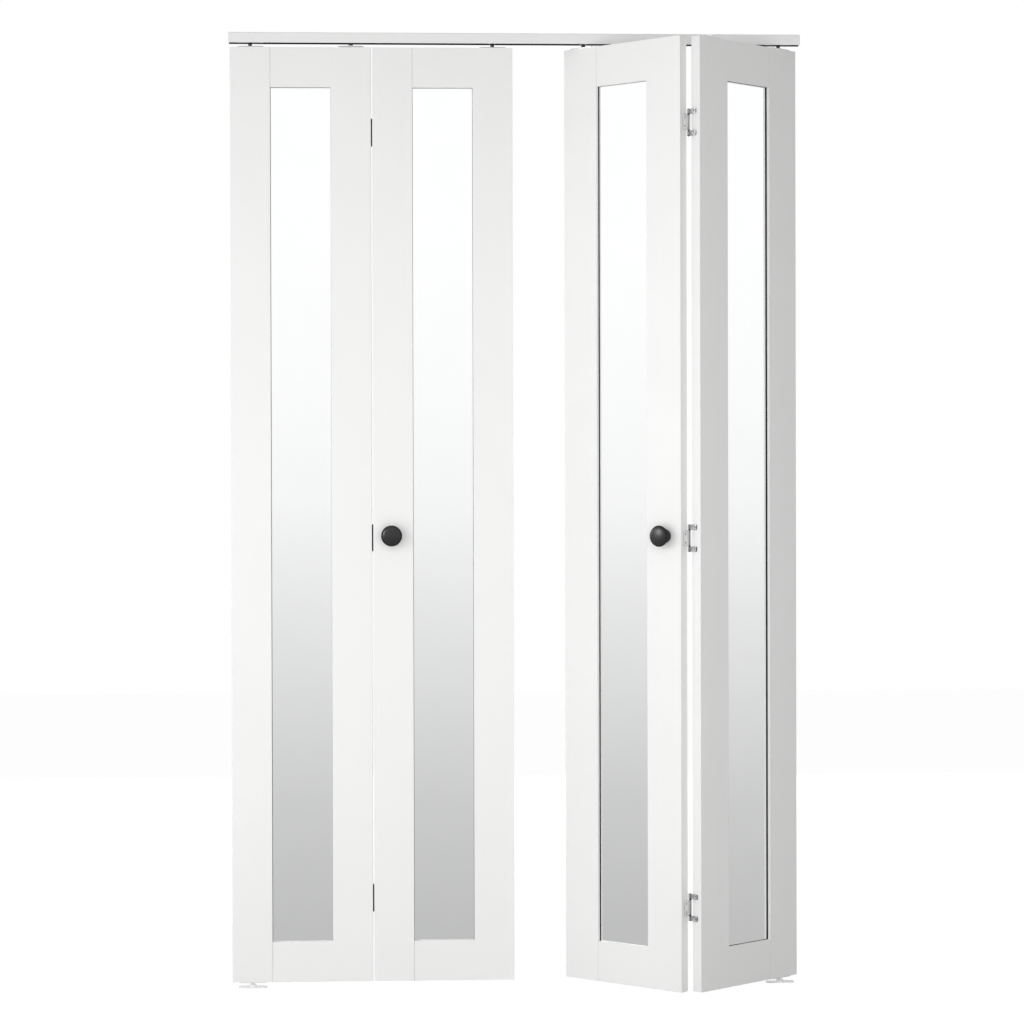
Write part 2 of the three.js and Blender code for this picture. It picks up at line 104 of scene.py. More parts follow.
# Roundness of the made pieces
ROUND_SIDES = 48
ARC_STEPS = 6
RIM_STEPS = 3
EDGE_STEPS = 2
MERGE_DISTANCE = 1e-6
SMOOTH_ANGLE = math.radians(32)

# Surfaces
GRAIN_RELIEF = 0.0004  # height of the grain under the paint
COAT_RELIEF = 0.0002  # height of the pits in a coat
WHITE = (1, 1, 1)
DOOR_WHITE = (0.9, 0.9, 0.893)
# painted shade inside the track's channel
TRACK_INSIDE_SHADE = (0.012, 0.012, 0.013)

# Mirror panes
MIRROR_SINK = 0.0021  # silvering behind the glass's front face
# Depth of the painted strip round the sight opening, in front of the dark seal
LINER_DEPTH = {"pivot_door": 0.0002, "lead_door": 0.0008}
SEAL_OVERLAP = 0.0001
# How much of the dark seal shows at each pane's left, right and bottom edge, as the viewer sees them; more
# shows on shaded edges, where the seal is partly painted shade
SEAL_SHOWN = {
    "left": {"pivot_door": (0.0008, 0.0005, 0), "lead_door": (0.0008, 0.0007, 0)},
    "right": {"pivot_door": (0.0005, 0.0012, 0.0006), "lead_door": (0.0014, 0.0005, 0)},
}

# Joints between stiles and rails
JOINT_GAP = 0.0003
JOINT_SINK = 0.00015  # bottom of the dark strip of painted shade in an open joint, below the panel's face
SHADED_JOINT_ON_RIGHT = ("right", "pivot_door")  # the one panel whose open joint, with its painted shade, is the viewer's right one
BEAD_SINK = 0.0001
BEAD_WIDTH = 0.0009
JOINT_DEPTH = 0.003

# Hinge leaves
LEAF_EDGE = 0.0004  # rounding of the leaves' cut edges
LEAF_CORNER = 0.002
LEAF_SIDE_CLEARANCE = 0.0001
# gap between knuckles, where the dark pin shows as a line of painted shade
KNUCKLE_GAP = 0.0016
# rounding of the knuckles' ends, which are coloured dark as painted shade
KNUCKLE_EDGE = 0.0008
SEAM_WIDTH = 0.0012  # where the sheet that is rolled into a knuckle ends, drawn as a dark line of painted shade
SEAM_RISE = 0.00005
SEAM_DEPTH = 0.0004
OUTER_SEAM = math.radians(-50)
INNER_SEAM = math.radians(-130)
CUT_EDGE_TILT = 0.5  # least steepness of a face that counts as a cut edge
UNSHADED_EDGE_SIDE = "right"  # the pair whose inner leaves get no painted shade on their cut edges
HINGE_PIN = 0.0036
RIVET_RISE = 0.0008
LEAF_SCREW = 0.006
LEAF_SCREW_INSET = 0.005
INNER_LEAF_SCREW_SPACING = 0.018

# Plates and pins let into the panels
PLATE_THICKNESS = 0.002
PLATE_CORNER = 0.004
PLATE_EDGE = 0.0005
PLATE_SCREW = 0.0065
PLATE_SCREW_INSET = 0.006
PLATE_CLEARANCE = 0.0003
TUBE_DIAMETER = 0.015
RUNNING_GAP = 0.0004
PIN_DIAMETER = 0.008
PIN_EDGE = 0.0012
COLLAR_DIAMETER = 0.011
COLLAR_HEIGHT = 0.003
SPIGOT_HEIGHT = 0.005  # end of a sprung pin below its collar
SPIGOT_SHARE = 0.6  # of the pin's diameter
PLUNGER_DIAMETER = 0.01
CATCH_BODY_LENGTH = 0.052
CATCH_BODY_WIDTH = 0.015
CATCH_BODY_RISE = 0.0014
CATCH_BODY_EDGE = 0.0006

# Track fittings
WEB_THICKNESS = 0.0014
INSIDE_MARGIN = 0.0001
TRACK_SCREW_INSET = 0.1
TRACK_SCREW_COUNT = 6
SOCKET_HEIGHT = 0.012
SOCKET_CORNER = 0.006
SOCKET_EDGE = 0.0008
CLAMP_SCREW = 0.006
CLAMP_SCREW_INSET = 0.012
CLAMP_SCREW_SINK = 0.001
ROLLER_EDGE = 0.0012
ROLLER_GROOVE = 0.0006
ROLLER_CLEARANCE = 0.0003
AXLE_DIAMETER = 0.0054
AXLE_HEAD_DIAMETER = 0.009
AXLE_EDGE = 0.0006

# Bottom fittings
BRACKET_CORNER = 0.005
BRACKET_SCREW_INSET = 0.007
CUP_DIAMETER = 0.015
CUP_HEIGHT = 0.006
CUP_DEPTH = 0.0039
SPIGOT_DIAMETER = 0.012

# Knobs
KNOB_FOOT_DIAMETER = 0.0284
KNOB_FOOT_HEIGHT = 0.0015
KNOB_DOME_RISE = 0.007
KNOB_RIM_HEIGHT = 0.0035
KNOB_RIM_START = -60  # degrees round the rim, from its outermost line
KNOB_RIM_END = 40
KNOB_RIM_SHARE = 0.5  # of the dome's rise that the duller rim, painted shade, takes up
KNOB_SCREW_HEAD = 0.0095

# Screws
FLAT_RISE = 0.0002
FLAT_DEPTH = 0.0016
PAN_HEAD = 0.0092
PAN_RISE = 0.0028
SHANK_SHARE = 0.5  # of the head's radius, as the shares of the crown and the recess are
SHANK_TOP_SHARE = 0.8  # of the depth
HEAD_EDGE_SHARE = 0.2  # of the depth
CROWN_EDGE_SHARE = 0.92
CROWN_EDGE_RISE_SHARE = 0.75  # of the head's rise
CROWN_TOP_SHARE = 0.6
RECESS_ARM_SHARE = 0.58
RECESS_SLOT_SHARE = 0.11
RECESS_DEPTH_SHARE = 0.5

SIDES = ("left", "right")
HINGE_PLACES = ("top", "middle", "bottom")
DOORS = ("pivot_door", "lead_door")
UPRIGHT = Matrix(((0, 0, 1, 0), (1, 0, 0, 0), (0, 1, 0, 0), (0, 0, 0, 1)))  # plan to the y-z plane
FACING_UP = Matrix()
FACING_DOWN = Matrix.Rotation(math.radians(180), 4, "X")
FACING_VIEWER = Matrix.Rotation(math.radians(90), 4, "X")
FACING_CLOSET = Matrix.Rotation(math.radians(-90), 4, "X")
FACING_RIGHT = Matrix.Rotation(math.radians(90), 4, "Y")
FACING_LEFT = Matrix.Rotation(math.radians(-90), 4, "Y")

joints = {joint["name"]: joint for joint in frame["joints"]}
nodes = frame["nodes"]
fold_axis = Vector(joints["left_door_fold"]["pos_m"])
pivot_axis = Vector(joints["left_door_pivot"]["pos_m"])


def moved(*offset):
    return Matrix.Translation(Vector(offset))


def turned_about(place, angle):
    """Turn about the upright line through a place."""
    return Matrix.Translation(place) @ Matrix.Rotation(angle, 4, "Z") @ Matrix.Translation(-place)


def right_places():
    """Matrices from the closed left pair to the right pair as the frame has it at rest."""
    mirrored = Matrix.Scale(-1, 4, Vector((1, 0, 0)))
    pivot = Vector(joints["right_door_pivot"]["pos_m"])
    open_angle = math.radians(-joints["right_door_pivot"]["range_deg"][0])
    swing = turned_about(pivot, open_angle)
    fold = turned_about(mirrored @ fold_axis, -2 * open_angle)
    return {"fixed": mirrored, "pivot_door": swing @ mirrored, "lead_door": swing @ fold @ mirrored}


PLACES = {
    "left": {"fixed": Matrix(), "pivot_door": Matrix(), "lead_door": Matrix()},
    "right": right_places(),
}


# Shapes
def arc(centre_x, centre_y, radius, start, end, steps=ARC_STEPS):
    """Points of an arc between two angles in degrees."""
    angles = [math.radians(start + (end - start) * i / steps) for i in range(steps + 1)]
    return [(centre_x + radius * math.cos(a), centre_y + radius * math.sin(a)) for a in angles]


def circle(x, y, diameter, sides=ROUND_SIDES // 2):
    return arc(x, y, diameter / 2, 0, 360, sides)[:-1]


def rounded_rectangle(x0, x1, y0, y1, radius):
    return (
        arc(x1 - radius, y0 + radius, radius, -90, 0)
        + arc(x1 - radius, y1 - radius, radius, 0, 90)
        + arc(x0 + radius, y1 - radius, radius, 90, 180)
        + arc(x0 + radius, y0 + radius, radius, 180, 270)
    )


def plate(x0, x1, y0, y1, corner, thickness, edge, holes=()):
    """Flat plate on z = 0 with rounded corners and edges. holes lists (x, y, diameter)."""
    curve = bpy.data.curves.new("plate outline", "CURVE")
    curve.dimensions = "2D"
    curve.fill_mode = "BOTH"
    curve.extrude = thickness / 2 - edge
    curve.bevel_depth = edge
    curve.bevel_resolution = EDGE_STEPS
    outline = rounded_rectangle(x0 + edge, x1 - edge, y0 + edge, y1 - edge, corner - edge)
    loops = [outline] + [circle(x, y, diameter + 2 * edge) for x, y, diameter in holes]
    for loop in loops:
        spline = curve.splines.new("POLY")
        spline.points.add(len(loop) - 1)
        for point, (x, y) in zip(spline.points, loop):
            point.co = (x, y, 0, 1)
        spline.use_cyclic_u = True
    holder = bpy.data.objects.new("plate outline", curve)
    mesh = bpy.data.meshes.new_from_object(holder)
    bm = bmesh.new()
    bm.from_mesh(mesh)
    bmesh.ops.remove_doubles(bm, verts=bm.verts, dist=MERGE_DISTANCE)
    bm.transform(moved(0, 0, thickness / 2))
    bpy.data.meshes.remove(mesh)
    bpy.data.objects.remove(holder)
    bpy.data.curves.remove(curve)
    return bm


def flat_plate(half_length, half_width, holes, corner=PLATE_CORNER):
    """Plate of the usual thickness about the origin. holes lists (x, diameter)."""
    return plate(-half_length, half_length, -half_width, half_width, corner, PLATE_THICKNESS, PLATE_EDGE,
                 [(x, 0, diameter) for x, diameter in holes])


def turned(profile, sides=ROUND_SIDES):
    """Round body about z from (radius, height) points. A profile that ends where it starts is a ring."""
    bm = bmesh.new()
    angles = [2 * math.pi * i / sides for i in range(sides)]
    rings = []
    for radius, height in profile:
        if radius == 0:
            rings.append([bm.verts.new((0, 0, height))])
        else:
            rings.append([bm.verts.new((radius * math.cos(a), radius * math.sin(a), height)) for a in angles])
    if profile[0] == profile[-1]:
        for vert in rings.pop():
            bm.verts.remove(vert)
        rings.append(rings[0])
    for lower, upper in zip(rings, rings[1:]):
        for i in range(sides):
            around = ((lower, i), (lower, i + 1), (upper, i + 1), (upper, i))
            corners = [ring[place % len(ring)] for ring, place in around]
            bm.faces.new(dict.fromkeys(corners))
    return bm


def bar_side(radius, low, high, edge):
    """Outline of a round bar's side with rounded rims."""
    lower = arc(radius - edge, low + edge, edge, -90, 0, RIM_STEPS)
    return lower + arc(radius - edge, high - edge, edge, 0, 90, RIM_STEPS)


def rod(radius, low, high, edge):
    return turned([(0, low)] + bar_side(radius, low, high, edge) + [(0, high)])


def tube(radius, bore_radius, low, high, edge):
    """Round bar with a bore right through it."""
    mouth = [(bore_radius + edge, high), (bore_radius, high - edge), (bore_radius, low + edge)]
    start = (bore_radius + edge, low)
    return turned([start] + bar_side(radius, low, high, edge) + mouth + [start])


def box(low, high):
    bm = bmesh.new()
    bmesh.ops.create_cube(bm, size=1)
    size = Vector(high) - Vector(low)
    centre = (Vector(high) + Vector(low)) / 2
    bm.transform(Matrix.Translation(centre) @ Matrix.Diagonal(size).to_4x4())
    return bm


def assemble(parts):
    """One mesh from (shape, matrix) pairs."""
    whole = bmesh.new()
    scratch = bpy.data.meshes.new("part")
    for shape, matrix in parts:
        shape.transform(matrix)
        shape.to_mesh(scratch)
        shape.free()
        whole.from_mesh(scratch)
    bpy.data.meshes.remove(scratch)
    return whole


def in_place(*shapes):
    """Parts that already are where they belong."""
    return [(shape, Matrix()) for shape in shapes]


def marked(shape, index):
    """Give all the faces of a shape one of its piece's materials."""
    for face in shape.faces:
        face.material_index = index
    return shape


@lru_cache(maxsize=None)
def screw_mesh(diameter, rise, depth):
    """Screw with a cross recess. Its head rises above z = 0 and the rest of it goes below."""
    radius = diameter / 2
    shank = radius * SHANK_SHARE
    profile = [
        (0, -depth),
        (shank, -depth),
        (shank, -depth * SHANK_TOP_SHARE),
        (radius, -depth * HEAD_EDGE_SHARE),
        (radius, 0),
        (radius * CROWN_EDGE_SHARE, rise * CROWN_EDGE_RISE_SHARE),
        (radius * CROWN_TOP_SHARE, rise),
        (0, rise),
    ]
    arm = radius * RECESS_ARM_SHARE
    slot = radius * RECESS_SLOT_SHARE
    deep = rise - radius * RECESS_DEPTH_SHARE
    over = rise + radius
    arms = in_place(box((-arm, -slot, deep), (arm, slot, over)), box((-slot, -arm, deep), (slot, arm, over)))
    helpers = []
    for name, shape in (("screw", turned(profile, ROUND_SIDES // 2)), ("cross recess", assemble(arms))):
        mesh = bpy.data.meshes.new(name)
        shape.to_mesh(mesh)
        shape.free()
        helper = bpy.data.objects.new(name, mesh)
        bpy.context.scene.collection.objects.link(helper)
        helpers.append(helper)
    head, recess = helpers
    cutter = head.modifiers.new("recess", "BOOLEAN")
    cutter.object = recess
    cutter.solver = "EXACT"
    cutter.use_self = True
    bpy.context.view_layer.update()
    made = bpy.data.meshes.new_from_object(head.evaluated_get(bpy.context.evaluated_depsgraph_get()))
    for helper in helpers:
        bpy.data.objects.remove(helper)
    return made


def screw(diameter, rise=FLAT_RISE, depth=FLAT_DEPTH):
    bm = bmesh.new()
    bm.from_mesh(screw_mesh(diameter, rise, depth))
    return bm


# Shader nodes
def feed(tree, value, socket):
    """Give a socket a plain value or another node's output. A plain colour comes without its alpha."""
    if isinstance(value, bpy.types.NodeSocket):
        tree.links.new(value, socket)
    elif socket.type == "RGBA":
        socket.default_value = (*value, 1)
    else:
        socket.default_value = value


def add_node(tree, kind, inputs=None, **settings):
    """Node with its settings, and its inputs by label or number."""
    made = tree.nodes.new(kind)
    for setting, value in settings.items():
        setattr(made, setting, value)
    for label, value in (inputs or {}).items():
        feed(tree, value, made.inputs[label])
    return made


def calculated(tree, operation, *values, **settings):
    inputs = dict(enumerate(values))
    return add_node(tree, "ShaderNodeMath", inputs, operation=operation, **settings).outputs[0]


def ranged(tree, value, low, high, from_low=0, from_high=1):
    """Value between two, by another one's way between its own two."""
    inputs = {"Value": value, "From Min": from_low, "From Max": from_high, "To Min": low, "To Max": high}
    return add_node(tree, "ShaderNodeMapRange", inputs).outputs["Result"]


def object_place(tree):
    return add_node(tree, "ShaderNodeTexCoord").outputs["Object"]


def clouds(tree, place, scale, detail, **others):
    inputs = {"Vector": place, "Scale": scale, "Detail": detail, **others}
    return add_node(tree, "ShaderNodeTexNoise", inputs).outputs["Fac"]


def axes_of(tree, vector):
    return add_node(tree, "ShaderNodeSeparateXYZ", {0: vector}).outputs


# Shader groups
def new_group(name, **inputs):
    """Group and what is given to it. An input's default is a number or a scale for each axis."""
    group = bpy.data.node_groups.new(name, "ShaderNodeTree")
    for label, default in inputs.items():
        kind = "NodeSocketVector" if isinstance(default, tuple) else "NodeSocketFloat"
        group.interface.new_socket(label, in_out="INPUT", socket_type=kind).default_value = default
    return group, group.nodes.new("NodeGroupInput").outputs


def finished_group(group, **outputs):
    for label in outputs:
        group.interface.new_socket(label, in_out="OUTPUT", socket_type="NodeSocketFloat")
    add_node(group, "NodeGroupOutput", outputs)
    return group


def make_grain_group():
    """Streaks that run along the axis with the smallest scale."""
    group, given = new_group("grain streaks", Scale=(1, 1, 1), Contrast=1)
    both = {0: object_place(group), 1: given["Scale"]}
    scaled = add_node(group, "ShaderNodeVectorMath", both, operation="MULTIPLY").outputs["Vector"]
    streaks = clouds(group, scaled, scale=1, detail=5, Roughness=0.62)
    centred = calculated(group, "SUBTRACT", streaks, 0.5)
    sharpened = calculated(group, "MULTIPLY_ADD", centred, given["Contrast"], 0.5, use_clamp=True)
    return finished_group(group, Height=streaks, Mask=sharpened)


def make_speckle_group():
    """Fine pits and spots of a sprayed or plated coat."""
    group, given = new_group("coat speckle", Size=0.001, Amount=0.5)
    place = object_place(group)
    per_metre = calculated(group, "DIVIDE", 1, given["Size"])
    pits = add_node(group, "ShaderNodeTexVoronoi", {"Vector": place, "Scale": per_metre}, feature="SMOOTH_F1")
    least = calculated(group, "SUBTRACT", 0.85, calculated(group, "MULTIPLY", given["Amount"], 0.5))
    cloud = clouds(group, place, per_metre, detail=3)
    spots = ranged(group, cloud, 0, 1, from_low=least, from_high=0.9)
    return finished_group(group, Height=pits.outputs["Distance"], Mask=spots)


def make_wear_group():
    """Edges rubbed bright or bare, broken up so that the line isn't even."""
    group, given = new_group("edge wear", Width=0.001, Breakup=60)
    rounded = add_node(group, "ShaderNodeBevel", {"Radius": given["Width"]}, samples=4)
    surface = add_node(group, "ShaderNodeNewGeometry")
    normals = {0: rounded.outputs["Normal"], 1: surface.outputs["Normal"]}
    facing = add_node(group, "ShaderNodeVectorMath", normals, operation="DOT_PRODUCT").outputs["Value"]
    edge = ranged(group, facing, 0, 1, from_low=0.99, from_high=0.8)
    cloud = clouds(group, object_place(group), given["Breakup"], detail=4)
    patches = ranged(group, cloud, 0, 1, from_low=0.42, from_high=0.62)
    return finished_group(group, Mask=calculated(group, "MULTIPLY", edge, patches))


def make_handling_group():
    """Broad, faint patches where hands, cloths and dust have changed the surface."""
    group, given = new_group("handling marks", Size=0.1)
    per_metre = calculated(group, "DIVIDE", 1, given["Size"])
    cloud = clouds(group, object_place(group), per_metre, detail=3, Distortion=0.6)
    return finished_group(group, Mask=ranged(group, cloud, 0, 1, from_low=0.3, from_high=0.7))


def make_channel_group():
    """Mask of the track's inner faces, by their place in the channel, where the coat's painted shade goes."""
    low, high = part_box("track")
    group = new_group("inside of the track")[0]
    axes = axes_of(group, object_place(group))
    off_middle = calculated(group, "ABSOLUTE", axes["Y"])
    mask = calculated(group, "LESS_THAN", off_middle, high.y - WEB_THICKNESS + INSIDE_MARGIN)
    for operation, limit in (
        ("GREATER_THAN", low.z + INSIDE_MARGIN),
        ("LESS_THAN", high.z - WEB_THICKNESS / 2),
    ):
        mask = calculated(group, "MULTIPLY", mask, calculated(group, operation, axes["Z"], limit))
    return finished_group(group, Mask=mask)


GRAIN = make_grain_group()
SPECKLE = make_speckle_group()
WEAR = make_wear_group()
HANDLING = make_handling_group()
CHANNEL = make_channel_group()


# Materials
def new_material(name, **sockets):
    """Material with its Principled shader. A socket that is the same all over is set here."""
    material = bpy.data.materials.new(name)
    material.use_nodes = True
    shader = material.node_tree.nodes["Principled BSDF"]
    for label, value in sockets.items():
        shader.inputs[label.replace("_", " ")].default_value = value
    return material, material.node_tree


def use_group(tree, group, **values):
    return add_node(tree, "ShaderNodeGroup", values, node_tree=group).outputs


def toned(colour, share, brightest=1):
    return [min(channel * share, brightest) for channel in colour]


def layered(tree, under, over, mask, share=1):
    """Colour over another one by a mask, or by a share of it."""
    if share != 1:
        mask = calculated(tree, "MULTIPLY", mask, share)
    return add_node(tree, "ShaderNodeMix", {0: mask, 6: under, 7: over}, data_type="RGBA").outputs[2]


def surfaced(material, colour, roughness, height=None, strength=0, relief=COAT_RELIEF):
    """Give a material its colour, its roughness and the relief of its surface."""
    tree = material.node_tree
    inputs = tree.nodes["Principled BSDF"].inputs
    feed(tree, colour, inputs["Base Color"])
    feed(tree, roughness, inputs["Roughness"])
    if height is not None:
        bump = add_node(tree, "ShaderNodeBump", {"Height": height, "Strength": strength, "Distance": relief})
        feed(tree, bump.outputs["Normal"], inputs["Normal"])
    return material


def make_door_paint(name, colour, grain_scale, roughness=(0.5, 0.6), strength=0.12):
    """White satin paint over wood, with the grain just showing through."""
    material, tree = new_material(name, Specular_IOR_Level=0.3)
    grain = use_group(tree, GRAIN, Scale=grain_scale, Contrast=2.2)
    marks = use_group(tree, HANDLING, Size=0.22)
    worn = use_group(tree, WEAR, Width=0.0012, Breakup=45)
    shade = toned(colour, 0.972)
    streaked = layered(tree, colour, shade, grain["Mask"], 0.5)
    cloudy = layered(tree, streaked, toned(shade, 0.95), marks["Mask"], 0.18)
    rubbed = layered(tree, cloudy, toned(colour, 0.93), worn["Mask"], 0.5)
    gloss = ranged(tree, marks["Mask"], *roughness)
    return surfaced(material, rubbed, gloss, grain["Height"], strength, GRAIN_RELIEF)


def make_powder_coat(name, colour, painted_shade_inside):
    """White powder coat on sheet steel. The inside of a folded track is coloured dark as painted shade."""
    material, tree = new_material(name)
    speckle = use_group(tree, SPECKLE, Size=0.0014, Amount=0.5)
    marks = use_group(tree, HANDLING, Size=0.15)
    worn = use_group(tree, WEAR, Width=0.0008, Breakup=70)
    cloudy = layered(tree, colour, toned(colour, 0.965), marks["Mask"], 0.3)
    finished = layered(tree, cloudy, toned(colour, 0.8), worn["Mask"], 0.6)
    if painted_shade_inside:
        # painted shade: the channel's inner faces are coloured dark
        finished = layered(tree, finished, TRACK_INSIDE_SHADE, use_group(tree, CHANNEL)["Mask"])
    gloss = ranged(tree, speckle["Mask"], 0.34, 0.46)
    return surfaced(material, finished, gloss, speckle["Height"], strength=0.1)


def make_silvering():
    """Mirror silvering behind clear glass, with faint wiping marks."""
    material, tree = new_material("mirror silvering", Metallic=1)
    marks = use_group(tree, HANDLING, Size=0.09)["Mask"]
    tint = layered(tree, (0.975, 0.985, 0.98), (0.965, 0.975, 0.97), marks)
    return surfaced(material, tint, ranged(tree, marks, 0.004, 0.02))


def make_dark_seal_and_shade():
    """Dark edge seal round the silvering, partly painted shade; also the dark strip of painted shade in the
    joints.
    """
    material, tree = new_material("dark seal and painted shade", Specular_IOR_Level=0.1)
    speckle = use_group(tree, SPECKLE, Size=0.002, Amount=0.5)["Mask"]
    tint = layered(tree, (0.008, 0.009, 0.009), (0.02, 0.02, 0.02), speckle)
    return surfaced(material, tint, ranged(tree, speckle, 0.5, 0.7))


def make_zinc(name, colour, brush_scale, roughness):
    """Zinc-plated steel, brushed along one way, with dull spots and bright rubbed edges."""
    material, tree = new_material(name, Metallic=1)
    brushed = use_group(tree, GRAIN, Scale=brush_scale, Contrast=2.5)
    speckle = use_group(tree, SPECKLE, Size=0.003, Amount=0.6)["Mask"]
    worn = use_group(tree, WEAR, Width=0.0005, Breakup=200)["Mask"]
    streaked = layered(tree, colour, toned(colour, 0.86), brushed["Mask"])
    spotted = layered(tree, streaked, toned(colour, 0.7), speckle, 0.35)
    rubbed = layered(tree, spotted, toned(colour, 1.25, brightest=0.95), worn)
    gloss = ranged(tree, speckle, *roughness)
    return surfaced(material, rubbed, gloss, brushed["Height"], strength=0.12)


def make_knob_coat(name, colour, roughness, specular):
    """Black coat with a faint orange peel, rubbed a little on its edges by hands."""
    material, tree = new_material(name, Specular_IOR_Level=specular)
    speckle = use_group(tree, SPECKLE, Size=0.0011, Amount=0.7)
    worn = use_group(tree, WEAR, Width=0.0012, Breakup=160)["Mask"]
    coat = layered(tree, colour, toned(colour, 1.6), speckle["Mask"])
    rubbed = layered(tree, coat, toned(colour, 3), worn, 0.5)
    gloss = ranged(tree, speckle["Mask"], *roughness)
    return surfaced(material, rubbed, gloss, speckle["Height"], strength=0.15)


def make_nylon():
    """Off-white moulded nylon, slightly greyed where it runs."""
    material, tree = new_material("roller nylon", Subsurface_Weight=0.15, Subsurface_Scale=0.002)
    speckle = use_group(tree, SPECKLE, Size=0.0009, Amount=0.5)
    worn = use_group(tree, WEAR, Width=0.001, Breakup=300)["Mask"]
    base = layered(tree, (0.85, 0.84, 0.81), (0.8, 0.79, 0.76), speckle["Mask"])
    rubbed = layered(tree, base, (0.62, 0.61, 0.59), worn)
    gloss = ranged(tree, speckle["Mask"], 0.38, 0.5)
    return surfaced(material, rubbed, gloss, speckle["Height"], strength=0.1)


stile_paint = make_door_paint("door paint on stiles", DOOR_WHITE, (420, 420, 9))
rail_paint = make_door_paint("door paint on rails", DOOR_WHITE, (9, 9, 420))
board_paint = make_door_paint("primer on back boards", (0.86, 0.86, 0.85), (160, 160, 160), (0.6, 0.75), 0.2)
track_paint = make_powder_coat("track powder coat", (0.87, 0.87, 0.865), True)
floor_paint = make_powder_coat("powder coat on the floor fittings", (0.95, 0.95, 0.945), False)
silvering = make_silvering()
dark_seal_and_shade = make_dark_seal_and_shade()
leaf_zinc = make_zinc("zinc on hinge tabs", (0.62, 0.62, 0.63), (500, 500, 20), (0.3, 0.45))
bright_zinc = make_zinc("bright zinc on inner leaves", (0.86, 0.86, 0.865), (500, 500, 20), (0.3, 0.45))
# dark cut edges of the leaves: partly bare steel, partly painted shade; also the knuckles' dark ends and
# seams
cut_edge_and_shade = make_zinc("dark cut edges and painted shade on leaves", (0.02, 0.02, 0.021), (500, 500, 90), (0.5, 0.65))
plate_zinc = make_zinc("zinc on plates", (0.6, 0.6, 0.61), (20, 500, 500), (0.28, 0.42))
# dark steel on pins; in the hinges' knuckle gaps it also stands in for shade
pin_steel_and_shade = make_zinc("dark steel on pins and painted shade", (0.045, 0.045, 0.047), (60, 60, 900), (0.32, 0.46))
screw_zinc = make_zinc("zinc on screws", (0.66, 0.66, 0.67), (400, 400, 400), (0.25, 0.4))
knob_coat = make_knob_coat("black coat on the knobs' faces", (0.01, 0.01, 0.01), (0.36, 0.46), 0.5)
# duller, differently toned copy of the face's coat that paints in the shade round the knob's rim
knob_rim_shade_coat = make_knob_coat("duller coat round the knobs as painted shade", (0.022, 0.022, 0.022), (0.7, 0.85), 0.15)
roller_nylon = make_nylon()


# Pieces
def add_object(name, shape, finishes, body, replaced=()):
    """Piece with its finishes, set riding on its body."""
    bmesh.ops.recalc_face_normals(shape, faces=shape.faces)
    mesh = bpy.data.meshes.new(name)
    shape.to_mesh(mesh)
    shape.free()
    for finish in finishes:
        mesh.materials.append(finish)
    mesh.shade_smooth()
    mesh.set_sharp_from_angle(angle=SMOOTH_ANGLE)
    piece = bpy.data.objects.new(name, mesh)
    bpy.context.scene.collection.objects.link(piece)
    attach(piece, body)
    if replaced:
        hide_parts(*replaced)


def add_piece(side, label, parts, finishes, place, node="", body=""):
    """Piece made on the closed left pair, moved to where its side and door stand.

    A fixed piece rides on the root. Any other rides on its door, or on the body of its side that is named.
    A node that is named is replaced.
    """
    shape = assemble(parts)
    shape.transform(PLACES[side][place])
    carrier = "root" if place == "fixed" else side + "_" + (body or place)
    replaced = [side + "_" + node] if node else []
    add_object(side + "_" + label, shape, finishes, carrier, replaced)


def add_screws(side, label, spots, size, place, finish=screw_zinc):
    """Screws of one size, each where its matrix in spots puts it. size holds what screw() takes."""
    for number, spot in enumerate(spots):
        add_piece(side, f"{label}_{number}", [(screw(*size), spot)], [finish], place)


def plan_of(low, high):
    """Middle x, half the length and half the width of a box, seen from above."""
    return (low.x + high.x) / 2, (high.x - low.x) / 2, (high.y - low.y) / 2


def both_ends(half_length, inset):
    """Two places along a length about the origin, each as far in from its end."""
    return [end * (half_length - inset) for end in (-1, 1)]


def paint_frame_nodes():
    finishes = {"stile": stile_paint, "rail": rail_paint, "board": board_paint, "track": track_paint}
    for name, node in nodes.items():
        ending = name.rsplit("_", 1)[-1]
        if ending in finishes:
            node.material_slots[0].material = finishes[ending]


def sight_opening(door):
    """Lowest and highest corner of a left door's opening in front of its mirror."""
    prefix = "left_" + door
    stiles = [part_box(name) for name in nodes if name.startswith(prefix) and name.endswith("stile")]
    stiles.sort(key=lambda corners: corners[0].x)
    bottom_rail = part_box(prefix + "_bottom_rail")
    top_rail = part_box(prefix + "_top_rail")
    low = Vector((stiles[0][1].x, 0, bottom_rail[1].z))
    high = Vector((stiles[1][0].x, 0, top_rail[0].z))
    return low, high


